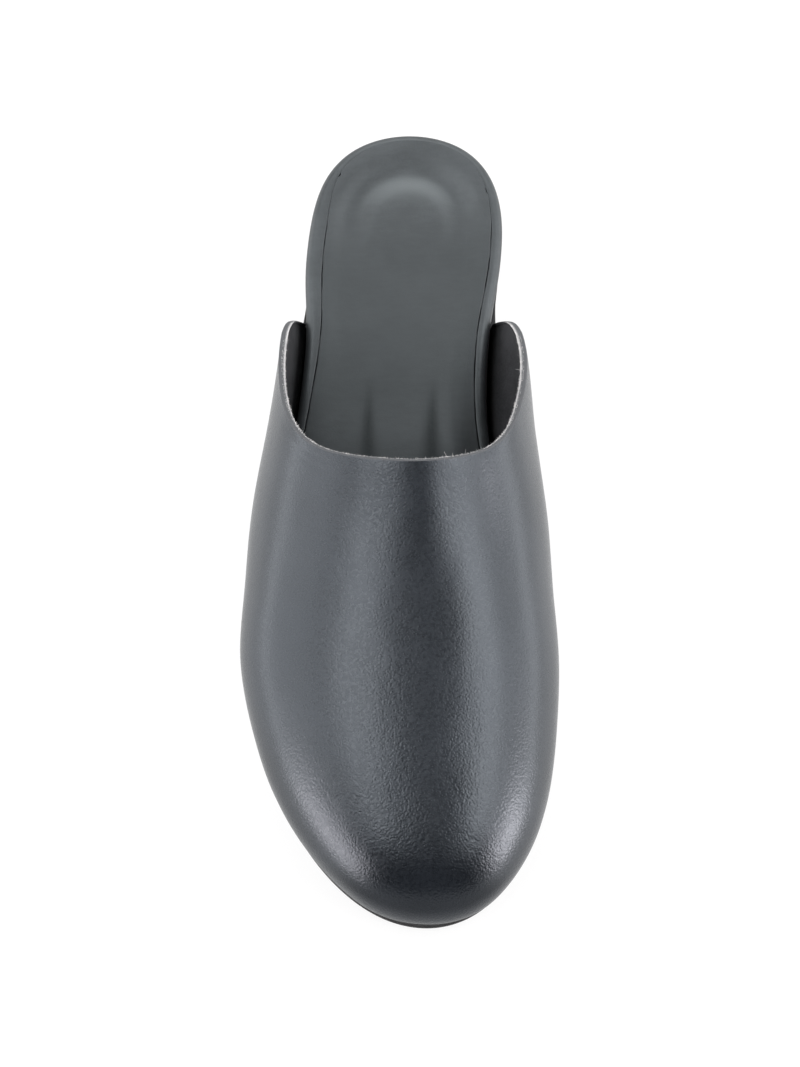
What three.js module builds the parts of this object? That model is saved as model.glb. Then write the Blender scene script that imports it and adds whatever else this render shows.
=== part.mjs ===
// A closed-toe leather mule for the right foot, standing on its sole.
// Its pieces are a rubber outsole with toe spring and arch, a low heel block, a leather-wrapped
// footbed with a cupped heel, an inset insole sock and a one-piece upper with raw-cut edges.
// Millimetres. Inside the last's own frame x runs from the outer side to the inner side of the foot,
// y from the tip of the toe to the back of the heel, and z up from the ground.
import * as THREE from "three";
import { mergeVertices } from "three/addons/utils/BufferGeometryUtils.js";

// Overall sizes
const shoeLength = 263;
const ballWidth = 100; // across the vamp at its widest
const heelWidth = 62.8; // across the footbed's rim
const instepHeight = 61.7; // crest of the throat above the top of the sole
const throatPlace = 0.508; // share of the length where the topline crosses the crest
const wingPlace = 0.76; // share of the length where the side wings meet the sole

// Sole and heel
const toeSpring = 5.5;
const heelRise = 10.5; // bottom of the outsole above the ground at the heel
const treadStart = 0.24; // the forefoot rests flat between these shares of the length
const treadEnd = 0.42;
const seatStart = 0.8;
const soleThickness = 5;
const soleBevel = 0.8;
const heelLip = 1; // outsole beyond the footbed's foot, behind the wings
const heelLength = 60;
const heelBreastHollow = 4;
const heelTaper = 1.4; // the block narrows by this much a side towards the ground
const heelSetIn = 0.4;
const heelBevel = 0.9;

// Upper
const wall = 2.2;
const toeTuck = 1.9; // how far the toe overhangs the sole
const skirtFullness = 0.5;

// Footbed and insole sock
const forefootRim = 5.5; // height of the footbed's edge
const heelRim = 13.5;
const rimFlare = 1.5; // the heel's edge swells by this much
const rimStart = 0.7; // shares of the length between which that swelling grows
const rimFull = 0.84;
const rimRoll = 2.6; // radius of the edge's rolled top
const footChamfer = 0.7; // along the bottom edge of the footbed
const sockThickness = 1.4;
const sockProud = 0.2; // how far the sock stands above the rim around it
const stripOuter = 2.8; // bare strip of rim beside the sock at the heel, beyond the roll
const stripWaist = 0.3; // the same strip at the waist, outer side
const stripInner = 0.9;
const stripBack = 0.3; // at the very back and at the tip
const cupDepth = 4.2;
const cupLength = 31; // from the deepest line of the heel cup to its back edge
const recessDraft = 0.05; // the sock's recess is this much narrower a side at its bottom
const dishDepth = 0.8;
const archLift = 2.4;
const padLift = 2;

const clearance = 0.3; // between pieces that meet on a curve
const soleSteps = 44; // points along each side of a sole outline
const acrossSteps = 10;
const rowSteps = 34; // rows of the upper, toe to topline
const skirtSteps = 4;
const archSteps = 28;

// Sections of the upper's outside. place is a share of shoeLength, half and sway are shares of the
// width there and of ballWidth, bulge and crest heights are shares of instepHeight above the sole.
const upperSections = [
  { place: 0, half: 0, sway: 0.085, bulge: 0.118, crest: 0.118, ridge: 0.084, fullness: 2.1 },
  { place: 0.012, half: 0.146, sway: 0.082, bulge: 0.128, crest: 0.258, ridge: 0.083, fullness: 2.1 },
  { place: 0.03, half: 0.2175, sway: 0.076, bulge: 0.142, crest: 0.36, ridge: 0.082, fullness: 2.12 },
  { place: 0.06, half: 0.292, sway: 0.066, bulge: 0.16, crest: 0.46, ridge: 0.08, fullness: 2.14 },
  { place: 0.11, half: 0.375, sway: 0.05, bulge: 0.185, crest: 0.555, ridge: 0.076, fullness: 2.15 },
  { place: 0.17, half: 0.4365, sway: 0.03, bulge: 0.21, crest: 0.628, ridge: 0.07, fullness: 2.15 },
  { place: 0.25, half: 0.481, sway: 0.01, bulge: 0.235, crest: 0.697, ridge: 0.063, fullness: 2.15 },
  { place: 0.33, half: 0.5, sway: -0.002, bulge: 0.255, crest: 0.765, ridge: 0.056, fullness: 2.12 },
  { place: 0.42, half: 0.484, sway: -0.005, bulge: 0.275, crest: 0.862, ridge: 0.05, fullness: 2.08 },
  { place: 0.51, half: 0.488, sway: -0.003, bulge: 0.305, crest: 1, ridge: 0.04, fullness: 2.04 },
  { place: 0.6, half: 0.521, sway: 0.003, bulge: 0.355, crest: 1.1, ridge: 0.03, fullness: 2 },
  { place: 0.68, half: 0.574, sway: 0.008, bulge: 0.405, crest: 1.16, ridge: 0.022, fullness: 2 },
  { place: 0.77, half: 0.585, sway: -0.004, bulge: 0.45, crest: 1.2, ridge: 0.015, fullness: 2 },
];

// The topline seen from the side. rise is a share of the throat's height, back a share of the way
// from the throat to the foot of the wings.
const topline = [
  { rise: 0, back: 1 },
  { rise: 0.19, back: 0.955 },
  { rise: 0.37, back: 0.865 },
  { rise: 0.48, back: 0.745 },
  { rise: 0.57, back: 0.61 },
  { rise: 0.68, back: 0.425 },
  { rise: 0.82, back: 0.2 },
  { rise: 0.92, back: 0.075 },
  { rise: 1, back: 0 },
  { rise: 1.15, back: -0.18 },
];

// Outline of the footbed where it meets the sole. place is a share of its own length, half a share
// of the width there and sway of ballWidth.
const footprint = [
  { place: 0, half: 0, sway: 0.083 },
  { place: 0.04, half: 0.219, sway: 0.069 },
  { place: 0.1, half: 0.325, sway: 0.048 },
  { place: 0.18, half: 0.403, sway: 0.024 },
  { place: 0.26, half: 0.442, sway: 0.005 },
  { place: 0.33, half: 0.449, sway: -0.003 },
  { place: 0.4, half: 0.418, sway: -0.009 },
  { place: 0.48, half: 0.3845, sway: -0.019 },
  { place: 0.56, half: 0.378, sway: -0.028 },
  { place: 0.64, half: 0.4035, sway: -0.025 },
  { place: 0.72, half: 0.4495, sway: -0.011 },
  { place: 0.8, half: 0.474, sway: 0.004 },
  { place: 0.88, half: 0.472, sway: 0.02 },
  { place: 0.94, half: 0.414, sway: 0.027 },
  { place: 0.98, half: 0.28, sway: 0.03 },
  { place: 1, half: 0, sway: 0.031 },
];

const looks = {
  upper: { color: 0x33383d, roughness: 0.38, metalness: 0 },
  footbed: { color: 0x3a3f42, roughness: 0.5, metalness: 0 },
  sock: { color: 0x3d4346, roughness: 0.52, metalness: 0 },
  rubber: { color: 0x1f2022, roughness: 0.7, metalness: 0 },
};

// Small maths

const mix = (a, b, share) => a + (b - a) * share;
const clamp01 = (value) => Math.min(1, Math.max(0, value));

// Goes from 0 to 1 between two ends with no corner at either.
function ease(from, to, value) {
  const t = clamp01((value - from) / (to - from));
  return t * t * t * (10 - 15 * t + 6 * t * t);
}

// A natural cubic spline through one column of a table, over its key column stretched by a function.
function smoothColumn(table, key, column, stretch = (value) => value) {
  const at = table.map((row) => stretch(row[key]));
  const value = table.map((row) => row[column]);
  const last = at.length - 1;
  const bend = new Array(last + 1).fill(0);
  const carry = new Array(last + 1).fill(0);
  for (let i = 1; i < last; i++) {
    const before = at[i] - at[i - 1];
    const after = at[i + 1] - at[i];
    const slopes = (value[i + 1] - value[i]) / after - (value[i] - value[i - 1]) / before;
    const pivot = 2 * (before + after) - before * carry[i - 1];
    carry[i] = after / pivot;
    bend[i] = (6 * slopes - before * bend[i - 1]) / pivot;
  }
  for (let i = last - 1; i > 0; i--) bend[i] -= carry[i] * bend[i + 1];
  return (where) => {
    const x = stretch(where);
    let i = 0;
    while (i < last - 1 && x > at[i + 1]) i++;
    const width = at[i + 1] - at[i];
    const right = (x - at[i]) / width;
    const left = 1 - right;
    const sag = ((left ** 3 - left) * bend[i] + (right ** 3 - right) * bend[i + 1]) * (width * width) / 6;
    return left * value[i] + right * value[i + 1] + sag;
  };
}

// Both ends of an outline are round, so its columns run smoothly over the angle of a half circle.
const halfTurn = (share) => Math.acos(1 - 2 * clamp01(share));
const roundToe = (share) => Math.sqrt(Math.max(0, share));

// Width that the shares of a table refer to, from the ball back to the heel
const widthAt = (share) => mix(ballWidth, heelWidth, ease(0.4, 0.8, share));

// Height of the outsole's bottom, at a distance from the tip of the toe
function groundLine(y) {
  const place = y / shoeLength;
  if (place < treadStart) return toeSpring * Math.abs(1 - place / treadStart) ** 2.2;
  return heelRise * ease(treadEnd, seatStart, place);
}

const soleTop = (y) => groundLine(y) + soleThickness;
const featherLine = (y) => soleTop(y) + clearance; // where the upper and the footbed stand

// Outlines, as loops that run from the toe along the inner side and back along the outer side

const footprintStart = toeTuck + wall + clearance;
const footprintEnd = shoeLength - rimFlare;
const printHalf = smoothColumn(footprint, "place", "half", halfTurn);
const printSway = smoothColumn(footprint, "place", "sway", halfTurn);

function footprintRow(share) {
  return {
    y: mix(footprintStart, footprintEnd, share),
    half: Math.max(0, printHalf(share)) * widthAt(share),
    middle: printSway(share) * ballWidth,
  };
}

const evenTurn = (step, steps) => (1 - Math.cos((Math.PI * step) / steps)) / 2;

// Pairs of points of the footprint, inner side first, with the direction out of the outline
function outlinePairs(steps, from = 0, to = 1) {
  const rows = [];
  for (let i = 0; i <= steps; i++) rows.push(footprintRow(mix(from, to, evenTurn(i, steps))));
  const side = (sign) => rows.map((row) => new THREE.Vector2(row.middle + sign * row.half, row.y));
  return outward(side(1), side(-1), from > 0);
}

function outward(inner, outer, openFront) {
  const last = inner.length - 1;
  return inner.map((point, i) => {
    const ahead = i === last ? outer[last - 1] : inner[i + 1];
    const behind = i === 0 ? (openFront ? inner[0] : outer[1]) : inner[i - 1];
    const outerAhead = i === last ? inner[last - 1] : outer[i + 1];
    const outerBehind = i === 0 ? (openFront ? outer[0] : inner[1]) : outer[i - 1];
    const across = ahead.clone().sub(behind).normalize();
    const outerAcross = outerAhead.clone().sub(outerBehind).normalize();
    return {
      inner: point,
      outer: outer[i],
      innerOut: new THREE.Vector2(across.y, -across.x),
      outerOut: new THREE.Vector2(-outerAcross.y, outerAcross.x),
    };
  });
}

// Moves each pair outwards. by gets the distance from the toe and says how far, for each side.
function shifted(pairs, by) {
  return pairs.map((pair) => {
    const far = by(pair.inner.y);
    const [innerBy, outerBy] = Array.isArray(far) ? far : [far, far];
    return {
      ...pair,
      inner: pair.inner.clone().addScaledVector(pair.innerOut, innerBy),
      outer: pair.outer.clone().addScaledVector(pair.outerOut, outerBy),
    };
  });
}

// Facets of a solid, gathered as loose triangles and closed when they are made into a mesh

class Facets {
  constructor() {
    this.corners = [];
  }

  triangle(a, b, c) {
    const flat = 1e-5;
    if (a.distanceTo(b) < flat || b.distanceTo(c) < flat || c.distanceTo(a) < flat) return;
    this.corners.push(a, b, c);
  }

  quad(a, b, c, d) {
    this.triangle(a, b, c);
    this.triangle(a, c, d);
  }

  // A sheet of points, rows by columns. Both ways round it is cut along the same diagonals.
  sheet(rows, flipped = false) {
    for (let r = 0; r + 1 < rows.length; r++) {
      for (let c = 0; c + 1 < rows[r].length; c++) {
        const [near, far] = [rows[r], rows[r + 1]];
        if (flipped) this.quad(near[c], near[c + 1], far[c + 1], far[c]);
        else this.quad(near[c], far[c], far[c + 1], near[c + 1]);
      }
    }
  }

  mesh(name, look) {
    const geometry = new THREE.BufferGeometry().setFromPoints(this.corners);
    const material = new THREE.MeshStandardMaterial(look);
    const mesh = new THREE.Mesh(mergeVertices(geometry, 1e-4), material);
    mesh.name = name;
    return mesh;
  }
}

// Rows of points across a plate, from its inner to its outer edge, at the height that a function gives
function rowsAcross(pairs, height, steps) {
  return pairs.map(({ inner, outer }) => {
    const row = [];
    for (let k = 0; k <= steps; k++) {
      const x = mix(inner.x, outer.x, k / steps);
      const y = mix(inner.y, outer.y, k / steps);
      row.push(new THREE.Vector3(x, y, height(x, y)));
    }
    return row;
  });
}

// The edge of such rows as one closed loop, counter-clockwise from above
function edgeOf(rows) {
  const last = rows.length - 1;
  const width = rows[0].length - 1;
  return [
    ...rows.map((row) => row[0]),
    ...rows[last].slice(1, width),
    ...rows.map((row) => row[width]).reverse(),
    ...rows[0].slice(1, width).reverse(),
  ];
}

// A closed plate: a bottom sheet, any rings up its side, and a top sheet, all with rows alike
function plate(levels) {
  const facets = new Facets();
  facets.sheet(levels[0], true);
  facets.sheet(levels[levels.length - 1]);
  const rings = levels.map(edgeOf);
  for (let k = 0; k + 1 < rings.length; k++) {
    const [low, high] = [rings[k], rings[k + 1]];
    for (let i = 0; i < low.length; i++) {
      const next = (i + 1) % low.length;
      facets.quad(low[i], low[next], high[next], high[i]);
    }
  }
  return facets;
}

// Outsole and heel

// Beyond the footprint the sole carries the upper's wall, and behind the wings only a narrow lip.
const soleMargin = (y) => mix(clearance + wall, heelLip, ease(wingPlace - 0.03, wingPlace + 0.05, y / shoeLength));

function makeOutsole() {
  const pairs = outlinePairs(soleSteps);
  const level = (inset, height) => rowsAcross(shifted(pairs, (y) => soleMargin(y) - inset), height, 2);
  return plate([
    level(soleBevel, (x, y) => groundLine(y)),
    level(0, (x, y) => groundLine(y) + soleBevel),
    level(0, (x, y) => soleTop(y) - soleBevel / 2),
    level(soleBevel / 2, (x, y) => soleTop(y)),
  ]).mesh("outsole", looks.rubber);
}

function makeHeel() {
  const breast = 1 - heelLength / (footprintEnd - footprintStart);
  const pairs = outlinePairs(Math.round(soleSteps / 2), breast, 1).map((pair) => ({ ...pair }));
  const level = (inset, height) => {
    const rows = rowsAcross(shifted(pairs, () => -inset), height, 6);
    rows[0].forEach((point, k) => {
      point.y += heelBreastHollow * Math.sin((Math.PI * k) / 6);
      point.z = height(point.x, point.y);
    });
    return rows;
  };
  const foot = heelSetIn + heelTaper;
  const top = (x, y) => groundLine(y) - clearance;
  return plate([
    level(foot + heelBevel, () => 0),
    level(foot, () => heelBevel),
    level(heelSetIn, (x, y) => top(x, y) - heelBevel / 2),
    level(heelSetIn + heelBevel / 2, top),
  ]).mesh("heel", looks.rubber);
}

// Footbed and sock

const rimTop = (y) => featherLine(y) + mix(forefootRim, heelRim, ease(0.35, 0.8, y / shoeLength));
const swelling = (y) => rimFlare * ease(rimStart, rimFull, y / shoeLength);

// Width of the bare strip beside the sock, inner side and outer side
function bareStrip(y) {
  const place = y / shoeLength;
  const ends = Math.max(ease(0.14, 0.02, place), ease(0.86, 1, place));
  const outer = mix(stripWaist, stripOuter, ease(0.55, 0.86, place));
  return [mix(stripInner, stripBack, ends), mix(outer, stripBack, ends)];
}

// How far the footbed's surface lies below its rim at a point
function hollow(x, y) {
  const share = clamp01((y - footprintStart) / (footprintEnd - footprintStart));
  const cupMiddle = footprintEnd - cupLength;
  const middle = printSway(share) * ballWidth;
  const widest = y > cupMiddle ? printHalf(1 - cupLength / (footprintEnd - footprintStart)) : printHalf(share);
  const across = (x - middle) / (widest * widthAt(share) - rimRoll);
  const along = y > cupMiddle ? (y - cupMiddle) / (cupLength - rimRoll) : 0;
  const out = Math.hypot(across, along);
  const depth = mix(dishDepth, cupDepth, ease(0.55, 0.84, y / shoeLength));
  const cup = depth * ease(1, 0.4, out);
  const arch = archLift * ease(-0.1, 1, across) * ease(0.46, 0.62, share) * ease(0.82, 0.66, share);
  const pad = padLift * Math.exp(-((across / 0.45) ** 2)) * Math.exp(-(((share - 0.43) / 0.075) ** 2));
  return cup - pad * ease(1, 0.6, Math.abs(across)) - arch * ease(1, 0.6, Math.abs(across));
}

// Inset of the sock's edge from the footprint: the roll and the bare strip, less the heel's swelling
function sockEdge(y, gap) {
  const [inner, outer] = bareStrip(y);
  const roll = rimRoll - swelling(y);
  return [-(roll + inner + gap), -(roll + outer + gap)];
}

const sockSeat = sockThickness + clearance - sockProud; // depth of the recess that the sock lies in

function makeFootbed() {
  const pairs = outlinePairs(soleSteps);
  const level = (by, height, steps = acrossSteps) => rowsAcross(shifted(pairs, by), height, steps);
  const rolled = (turn) =>
    level(
      (y) => swelling(y) - rimRoll * (1 - Math.cos(turn)),
      (x, y) => rimTop(y) - rimRoll * (1 - Math.sin(turn)),
    );
  return plate([
    level(() => -footChamfer, (x, y) => featherLine(y)),
    level(() => 0, (x, y) => featherLine(y) + footChamfer),
    rolled(0),
    rolled(Math.PI / 6),
    rolled(Math.PI / 3),
    rolled(Math.PI / 2),
    level((y) => sockEdge(y, 0), (x, y) => rimTop(y)),
    sockRows(recessDraft, 0),
  ]).mesh("footbed", looks.footbed);
}

// Rows of the recess's floor, lifted. A gap draws in the crowded rows at both ends, and of the
// others only the edge, along the same facets.
function sockRows(gap, above) {
  const floor = (x, y) => rimTop(y) - sockSeat - hollow(x, y) + above;
  const rows = (by) => rowsAcross(shifted(outlinePairs(soleSteps), (y) => sockEdge(y, by)), floor, acrossSteps);
  const [seat, drawn] = [rows(recessDraft), rows(gap)];
  const crowded = 3;
  return seat.map((row, r) => {
    if (r < crowded || r > soleSteps - crowded) return drawn[r];
    return row.map((point, k) => {
      if (k > 0 && k < acrossSteps) return point;
      const neighbour = row[k === 0 ? 1 : k - 1];
      const { x, y } = drawn[r][k];
      const whole = Math.hypot(neighbour.x - point.x, neighbour.y - point.y);
      const share = Math.hypot(x - point.x, y - point.y) / whole;
      return new THREE.Vector3(x, y, mix(point.z, neighbour.z, share));
    });
  });
}

function makeSock() {
  return plate([
    sockRows(clearance + recessDraft, clearance),
    sockRows(clearance + recessDraft, clearance + sockThickness),
  ]).mesh("insole_sock", looks.sock);
}

// Upper

const columns = {};
for (const name of ["half", "sway", "bulge", "crest", "ridge", "fullness"]) {
  columns[name] = smoothColumn(upperSections, "place", name, roundToe);
}
const toplineBack = smoothColumn(topline, "rise", "back");
const throatY = throatPlace * shoeLength;
const wingY = wingPlace * shoeLength;

// Sizes of the section at a distance from the toe
function section(y) {
  const share = y / shoeLength;
  const half = Math.max(0, columns.half(share)) * widthAt(share);
  const middle = columns.sway(share) * ballWidth;
  return {
    sides: [middle + half, middle - half],
    ridge: columns.ridge(share) * ballWidth,
    floor: featherLine(y),
    bulge: featherLine(y) + columns.bulge(share) * instepHeight,
    crest: featherLine(y) + columns.crest(share) * instepHeight,
    power: 2 / columns.fullness(share),
  };
}

// A point of the vault between the two bulge lines, turn going from the inner side over to the outer
function vaultPoint(turn, y) {
  const s = section(y);
  const reach = Math.cos(turn);
  const side = reach >= 0 ? s.sides[0] : s.sides[1];
  const x = s.ridge + (side - s.ridge) * Math.abs(reach) ** s.power;
  const z = s.bulge + (s.crest - s.bulge) * Math.sin(turn) ** s.power;
  return new THREE.Vector3(x, y, z);
}

// Where the upper's outer face meets the sole, below a point of the bulge line
function featherPoint(side, y) {
  const nudge = 0.004;
  const reach = footprintEnd - footprintStart;
  const share = mix(0, (wingY - footprintStart) / reach, y / wingY);
  const sign = side === 0 ? 1 : -1;
  const edge = (at) => {
    const row = footprintRow(Math.max(0, at));
    return new THREE.Vector2(row.middle + sign * row.half, row.y);
  };
  const run = edge(share + nudge).sub(edge(share - nudge)).normalize();
  const out = share < 1e-6 ? new THREE.Vector2(0, -1) : new THREE.Vector2(sign * run.y, -sign * run.x);
  const foot = edge(share);
  const s = section(y);
  const rise = skirtFullness * (s.bulge - s.floor);
  const lean = new THREE.Vector2(s.sides[side], y).sub(foot).dot(out) - clearance - wall;
  const level = wall * Math.min(1.5, Math.hypot(lean, rise) / rise);
  foot.addScaledVector(out, clearance + level);
  return new THREE.Vector3(foot.x, foot.y, 0);
}

// A point of the skirt, from the feather line at 0 up to the bulge line at 1
function skirtPoint(side, up, y) {
  const s = section(y);
  const foot = featherPoint(side, y);
  const out = 1 - (1 - up) ** 2;
  const floor = featherLine(foot.y);
  const climb = 2 * up * (1 - up) * skirtFullness + up * up;
  return new THREE.Vector3(mix(foot.x, s.sides[side], out), mix(foot.y, y, out), mix(floor, s.bulge, climb));
}

// The columns of the upper, from the inner side's feather line over the crest to the outer side's
function upperColumns() {
  const list = [];
  for (let k = 0; k < skirtSteps; k++) list.push((y) => skirtPoint(0, k / skirtSteps, y));
  for (let k = 0; k <= archSteps; k++) list.push((y) => vaultPoint((Math.PI * k) / archSteps, y));
  for (let k = skirtSteps - 1; k >= 0; k--) list.push((y) => skirtPoint(1, k / skirtSteps, y));
  return list;
}

// Distance from the toe at which a column reaches the topline, found by halving
function toplineOn(column) {
  let [near, far] = [throatY - 4, wingY];
  for (let i = 0; i < 40; i++) {
    const y = (near + far) / 2;
    const point = column(y);
    const rise = (point.z - featherLine(point.y)) / instepHeight;
    const line = mix(throatY, wingY, toplineBack(rise));
    if (y < line) near = y;
    else far = y;
  }
  return (near + far) / 2;
}

function upperRows() {
  const list = upperColumns().map((column) => ({ column, end: toplineOn(column) }));
  const rows = [];
  for (let r = 0; r <= rowSteps; r++) {
    const share = 1 - Math.cos((Math.PI * r) / (2 * rowSteps));
    rows.push(list.map(({ column, end }) => column(end * share)));
  }
  return rows;
}

const keyOf = (point) => point.toArray().map((value) => value.toFixed(3)).join(" ");

// Outward normals at the points of a sheet, shared where points coincide
function sheetNormals(rows) {
  const sums = new Map();
  const facets = new Facets();
  facets.sheet(rows);
  for (let i = 0; i < facets.corners.length; i += 3) {
    const [a, b, c] = facets.corners.slice(i, i + 3);
    const normal = b.clone().sub(a).cross(c.clone().sub(a));
    for (const point of [a, b, c]) {
      const key = keyOf(point);
      sums.set(key, (sums.get(key) ?? new THREE.Vector3()).add(normal));
    }
  }
  return rows.map((row) => row.map((point) => sums.get(keyOf(point)).clone().normalize()));
}

// The inner face lies one wall inside the outer, and its lower edge is drawn down onto the sole.
function innerRows(outer) {
  const normals = sheetNormals(outer);
  return outer.map((row, r) =>
    row.map((point, c) => {
      const normal = normals[r][c];
      if (c > 0 && c < row.length - 1) return point.clone().addScaledVector(normal, -wall);
      const level = Math.hypot(normal.x, normal.y);
      const inset = new THREE.Vector3(normal.x, normal.y, 0).multiplyScalar(-wall / (level * level));
      return point.clone().add(inset);
    }),
  );
}

function makeUpper() {
  const outer = upperRows();
  const inner = innerRows(outer);
  const facets = new Facets();
  facets.sheet(outer);
  facets.sheet(inner, true);
  const last = outer.length - 1;
  facets.sheet([outer[last], inner[last]]);
  const sides = [0, outer[0].length - 1];
  sides.forEach((c, i) => {
    facets.sheet([outer.map((row) => row[c]), inner.map((row) => row[c])], i === 1);
  });
  return facets.mesh("upper", looks.upper);
}

const last = new THREE.Group();
last.add(makeOutsole(), makeHeel(), makeFootbed(), makeSock(), makeUpper());

// The part stands on the ground with its origin under the middle of its box, toe towards -Y.
const box = new THREE.Box3().setFromObject(last);
const centre = box.getCenter(new THREE.Vector3());
last.position.set(-centre.x, -centre.y, -box.min.z);

const mule = new THREE.Group();
mule.add(last);

export default mule;
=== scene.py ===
import bpy, math, random
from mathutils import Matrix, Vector, noise


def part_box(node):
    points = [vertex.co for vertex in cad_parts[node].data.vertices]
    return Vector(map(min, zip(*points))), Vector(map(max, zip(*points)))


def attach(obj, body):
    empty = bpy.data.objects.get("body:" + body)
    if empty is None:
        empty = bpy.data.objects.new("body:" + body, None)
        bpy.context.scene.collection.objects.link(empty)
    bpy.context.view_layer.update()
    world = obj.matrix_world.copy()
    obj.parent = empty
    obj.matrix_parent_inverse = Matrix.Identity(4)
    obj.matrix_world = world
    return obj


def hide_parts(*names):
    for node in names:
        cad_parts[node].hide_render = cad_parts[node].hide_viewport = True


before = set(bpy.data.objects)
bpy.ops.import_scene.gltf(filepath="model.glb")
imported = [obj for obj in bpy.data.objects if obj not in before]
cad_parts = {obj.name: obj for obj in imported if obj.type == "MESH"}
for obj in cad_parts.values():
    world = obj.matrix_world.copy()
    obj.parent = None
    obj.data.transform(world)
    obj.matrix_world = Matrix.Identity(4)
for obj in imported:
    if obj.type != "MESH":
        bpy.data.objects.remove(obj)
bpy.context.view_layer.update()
mm = 0.001
print("frame loaded")

# the last, in millimetres
# x runs from the outer to the inner side of the foot, y from the tip of the toe to the heel

last = {
    "length": 263, "ballWidth": 100, "heelWidth": 62.8, "instep": 61.7,
    "throat": 0.508, "wingEnd": 0.76,
    "toeSpring": 5.5, "springCurve": 2.2, "heelRise": 10.5,
    "treadStart": 0.24, "treadEnd": 0.42, "seatStart": 0.8, "narrowing": (0.4, 0.8),
    "soleThickness": 5, "gap": 0.3, "wall": 2.2, "toeTuck": 1.9, "skirtFullness": 0.5,
    "rimFlare": 1.5,
}

# outside of the upper: half and sway as shares of the width, heights as shares of the instep
sectionColumns = ("place", "half", "sway", "bulge", "crest", "ridge", "fullness")
sections = (
    (0, 0, 0.085, 0.118, 0.118, 0.084, 2.1),
    (0.012, 0.146, 0.082, 0.128, 0.258, 0.083, 2.1),
    (0.03, 0.2175, 0.076, 0.142, 0.36, 0.082, 2.12),
    (0.06, 0.292, 0.066, 0.16, 0.46, 0.08, 2.14),
    (0.11, 0.375, 0.05, 0.185, 0.555, 0.076, 2.15),
    (0.17, 0.4365, 0.03, 0.21, 0.628, 0.07, 2.15),
    (0.25, 0.481, 0.01, 0.235, 0.697, 0.063, 2.15),
    (0.33, 0.5, -0.002, 0.255, 0.765, 0.056, 2.12),
    (0.42, 0.484, -0.005, 0.275, 0.862, 0.05, 2.08),
    (0.51, 0.488, -0.003, 0.305, 1, 0.04, 2.04),
    (0.6, 0.521, 0.003, 0.355, 1.1, 0.03, 2),
    (0.68, 0.574, 0.008, 0.405, 1.16, 0.022, 2),
    (0.77, 0.585, -0.004, 0.45, 1.2, 0.015, 2),
)
toplineColumns = ("rise", "back")
topline = (
    (0, 1), (0.19, 0.955), (0.37, 0.865), (0.48, 0.745), (0.57, 0.61),
    (0.68, 0.425), (0.82, 0.2), (0.92, 0.075), (1, 0), (1.15, -0.18),
)
footprintColumns = ("place", "half", "sway")
footprint = (
    (0, 0, 0.083), (0.04, 0.219, 0.069), (0.1, 0.325, 0.048), (0.18, 0.403, 0.024),
    (0.26, 0.442, 0.005), (0.33, 0.449, -0.003), (0.4, 0.418, -0.009), (0.48, 0.3845, -0.019),
    (0.56, 0.378, -0.028), (0.64, 0.4035, -0.025), (0.72, 0.4495, -0.011), (0.8, 0.474, 0.004),
    (0.88, 0.472, 0.02), (0.94, 0.414, 0.027), (0.98, 0.28, 0.03), (1, 0, 0.031),
)


def mix(a, b, share):
    return a + (b - a) * share


def clamp(value):
    return min(1.0, max(0.0, value))


def ease(start, end, value):
    t = clamp((value - start) / (end - start))
    return t * t * t * (10 - 15 * t + 6 * t * t)


def hump(value, centre, width):
    return math.exp(-((value - centre) / width) ** 2)


# natural cubic through one column
def smoothColumn(table, columns, key, column, stretch=lambda value: value):
    at = [stretch(row[columns.index(key)]) for row in table]
    value = [row[columns.index(column)] for row in table]
    end = len(at) - 1
    bend, carry = [0.0] * (end + 1), [0.0] * (end + 1)
    for i in range(1, end):
        before, after = at[i] - at[i - 1], at[i + 1] - at[i]
        slopes = (value[i + 1] - value[i]) / after - (value[i] - value[i - 1]) / before
        pivot = 2 * (before + after) - before * carry[i - 1]
        carry[i] = after / pivot
        bend[i] = (6 * slopes - before * bend[i - 1]) / pivot
    for i in range(end - 1, 0, -1):
        bend[i] -= carry[i] * bend[i + 1]

    def read(where):
        x = stretch(where)
        i = 0
        while i < end - 1 and x > at[i + 1]:
            i += 1
        width = at[i + 1] - at[i]
        right = (x - at[i]) / width
        left = 1 - right
        sag = ((left ** 3 - left) * bend[i] + (right ** 3 - right) * bend[i + 1]) * width * width / 6
        return left * value[i] + right * value[i + 1] + sag

    return read


def halfTurn(share):
    return math.acos(1 - 2 * clamp(share))


def roundToe(share):
    return math.sqrt(max(0.0, share))


shape = {name: smoothColumn(sections, sectionColumns, "place", name, roundToe) for name in sectionColumns[1:]}
toplineBack = smoothColumn(topline, toplineColumns, "rise", "back")
printHalf = smoothColumn(footprint, footprintColumns, "place", "half", halfTurn)
printSway = smoothColumn(footprint, footprintColumns, "place", "sway", halfTurn)
printStart = last["toeTuck"] + last["wall"] + last["gap"]
printEnd = last["length"] - last["rimFlare"]
throatY = last["throat"] * last["length"]
wingY = last["wingEnd"] * last["length"]


def widthAt(share):
    return mix(last["ballWidth"], last["heelWidth"], ease(*last["narrowing"], share))


def groundLine(y):
    place = y / last["length"]
    if place < last["treadStart"]:
        return last["toeSpring"] * abs(1 - place / last["treadStart"]) ** last["springCurve"]
    return last["heelRise"] * ease(last["treadEnd"], last["seatStart"], place)


def soleTop(y):
    return groundLine(y) + last["soleThickness"]


def featherLine(y):
    return soleTop(y) + last["gap"]


def footprintRow(share):
    half = max(0.0, printHalf(share)) * widthAt(share)
    return mix(printStart, printEnd, share), half, printSway(share) * last["ballWidth"]


# meshes

# points that agree to this many decimals of a millimetre are one point
samePoint = 4


def keyOf(p):
    return round(p.x, samePoint), round(p.y, samePoint), round(p.z, samePoint)


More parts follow.
